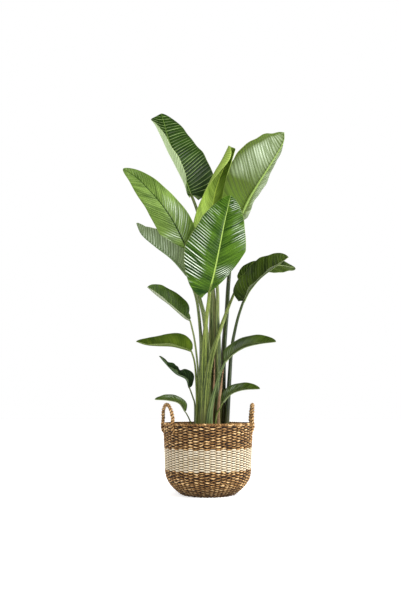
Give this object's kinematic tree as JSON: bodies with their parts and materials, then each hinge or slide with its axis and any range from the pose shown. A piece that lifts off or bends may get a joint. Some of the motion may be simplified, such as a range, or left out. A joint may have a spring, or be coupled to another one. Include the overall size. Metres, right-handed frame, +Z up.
{
  "type": "potted bird of paradise plant",
  "caption": "Tall potted bird of paradise: broad ribbed leaves on long stems rising from soil in a nursery pot, inside a round woven basket with rope handles.",
  "frame": {"origin": "centre of the basket's flat base, on the floor", "axes": "+Z up along the plant, -Y the basket's front, the rope handles towards -X and +X"},
  "size_m": [0.8066, 0.414, 1.8356],
  "materials": {
    "seagrass_weave": "rough twisted grass cord",
    "cream_weave": "matte pale twisted cord",
    "rope_handle": "rough twisted rope",
    "pot_plastic": "satin moulded plastic",
    "soil": "loose crumbly soil",
    "leaf_dark": "waxy ribbed leaf",
    "leaf_mid": "waxy ribbed leaf",
    "leaf_pale": "matte ribbed underside",
    "leaf_lime": "tender new leaf",
    "stem_green": "smooth streaked stem",
    "dry_sheath": "dry papery husk"
  },
  "bodies": {
    "root": {"basket_lower_weave": "seagrass_weave", "basket_cream_band": "cream_weave", "basket_upper_weave": "seagrass_weave", "basket_rim": "seagrass_weave", "handle_left": "rope_handle", "handle_right": "rope_handle", "nursery_pot": "pot_plastic", "potting_soil": "soil", "dry_sheath_right": "dry_sheath", "dry_sheath_middle": "dry_sheath", "leaf_top_left": "leaf_dark", "stem_top_left": "stem_green", "leaf_left_upper": "leaf_mid", "stem_left_upper": "stem_green", "leaf_left_lower": "leaf_pale", "stem_left_lower": "stem_green", "leaf_center": "leaf_mid", "stem_center": "stem_green", "leaf_new": "leaf_lime", "stem_new": "stem_green", "leaf_top_right": "leaf_pale", "stem_top_right": "stem_green", "leaf_right_middle": "leaf_dark", "stem_right_middle": "stem_green", "leaf_right_back": "leaf_dark", "stem_right_back": "stem_green", "leaf_low_left_first": "leaf_mid", "stem_low_left_first": "stem_green", "leaf_low_left_second": "leaf_mid", "stem_low_left_second": "stem_green", "leaf_low_left_third": "leaf_dark", "stem_low_left_third": "stem_green", "leaf_low_left_fourth": "leaf_dark", "stem_low_left_fourth": "stem_green", "leaf_low_right_first": "leaf_dark", "stem_low_right_first": "stem_green", "leaf_low_right_second": "leaf_dark", "stem_low_right_second": "stem_green"}
  },
  "joints": []
}
